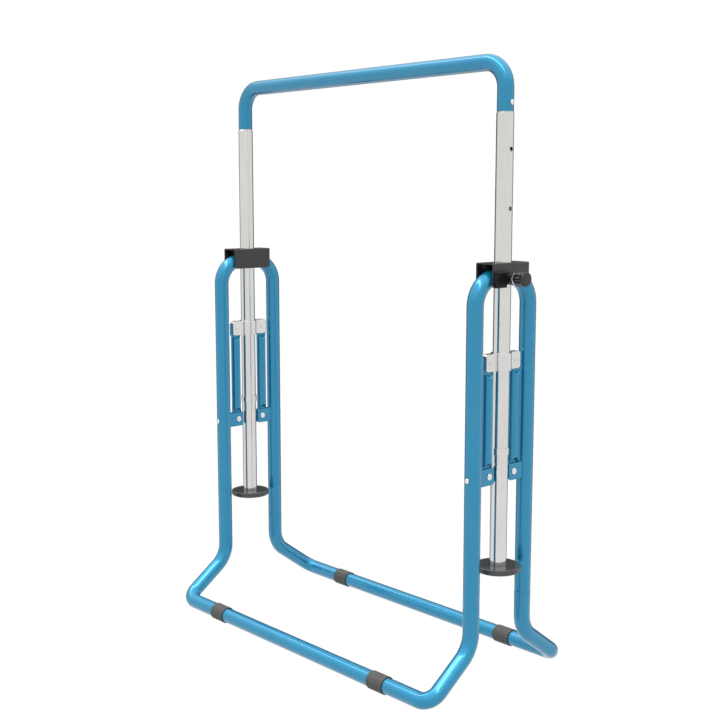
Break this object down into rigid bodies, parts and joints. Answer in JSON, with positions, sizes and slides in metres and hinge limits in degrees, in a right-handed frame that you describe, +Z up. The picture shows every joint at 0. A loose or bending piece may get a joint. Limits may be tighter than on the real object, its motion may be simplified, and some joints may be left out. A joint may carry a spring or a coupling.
{
  "type": "kip bar",
  "caption": "Free-standing kip bar for gymnastics: a U-shaped bar slides on chromed posts in two tube frames and locks with spring pull pins.",
  "frame": {"origin": "on the floor, midway between the side frames and midway front to back", "axes": "+Z up, +X along the bar towards the right frame, -Y towards the front"},
  "size_m": [1.09, 0.4852, 1.4508],
  "materials": {
    "blue_paint": "gloss metallic blue powder coat",
    "chrome": "bright chrome plate",
    "zinc": "satin zinc plate",
    "black_paint": "satin black powder coat",
    "black_plastic": "satin moulded",
    "gloss_black": "polished moulded",
    "grey_rubber": "matt moulded rubber"
  },
  "bodies": {
    "side_frames": {"bracket_left": "black_paint", "guide_sleeve_left": "zinc", "lock_block_left": "black_plastic", "pin_housing_left": "chrome", "pin_spring_left": "zinc", "guide_clamp_left": "chrome", "bracket_right": "black_paint", "guide_sleeve_right": "zinc", "lock_block_right": "black_plastic", "pin_housing_right": "chrome", "pin_spring_right": "zinc", "guide_clamp_right": "chrome", "leg_left_front": "blue_paint", "base_corner_left_front": "blue_paint", "brace_left_front": "blue_paint", "brace_tab_left_front": "blue_paint", "leg_bolt_left_front": "chrome", "tab_bolt_left_front": "chrome", "clamp_rivet_left_front": "chrome", "leg_left_rear": "blue_paint", "base_corner_left_rear": "blue_paint", "brace_left_rear": "blue_paint", "brace_tab_left_rear": "blue_paint", "leg_bolt_left_rear": "chrome", "tab_bolt_left_rear": "chrome", "clamp_rivet_left_rear": "chrome", "leg_right_front": "blue_paint", "base_corner_right_front": "blue_paint", "brace_right_front": "blue_paint", "brace_tab_right_front": "blue_paint", "leg_bolt_right_front": "chrome", "tab_bolt_right_front": "chrome", "clamp_rivet_right_front": "chrome", "leg_right_rear": "blue_paint", "base_corner_right_rear": "blue_paint", "brace_right_rear": "blue_paint", "brace_tab_right_rear": "blue_paint", "leg_bolt_right_rear": "chrome", "tab_bolt_right_rear": "chrome", "clamp_rivet_right_rear": "chrome", "runner_front": "blue_paint", "runner_rear": "blue_paint", "foot_sleeve_left_front": "grey_rubber", "foot_sleeve_left_rear": "grey_rubber", "foot_sleeve_right_front": "grey_rubber", "foot_sleeve_right_rear": "grey_rubber"},
    "sliding_bar": {"top_bar": "blue_paint", "post_left": "chrome", "bar_screw_left": "chrome", "foot_disc_left": "gloss_black", "disc_screw_left": "zinc", "post_right": "chrome", "bar_screw_right": "chrome", "foot_disc_right": "gloss_black", "disc_screw_right": "zinc"},
    "pull_pin_left": {"lock_pin_left": "zinc", "pull_knob_left": "black_plastic"},
    "pull_pin_right": {"lock_pin_right": "zinc", "pull_knob_right": "black_plastic"}
  },
  "joints": [
    {"name": "height_slide", "type": "slide", "parent": "side_frames", "child": "sliding_bar", "axis": [0, 0, 1], "range_m": [-0.2827, 0]},
    {"name": "pin_pull_left", "type": "slide", "parent": "side_frames", "child": "pull_pin_left", "axis": [-1, 0, 0], "range_m": [0, 0.009], "stiffness_N_per_m": 1200, "springref_m": -0.008, "deforming": ["pin_spring_left"]},
    {"name": "pin_pull_right", "type": "slide", "parent": "side_frames", "child": "pull_pin_right", "axis": [1, 0, 0], "range_m": [0, 0.009], "stiffness_N_per_m": 1200, "springref_m": -0.008, "deforming": ["pin_spring_right"]}
  ]
}
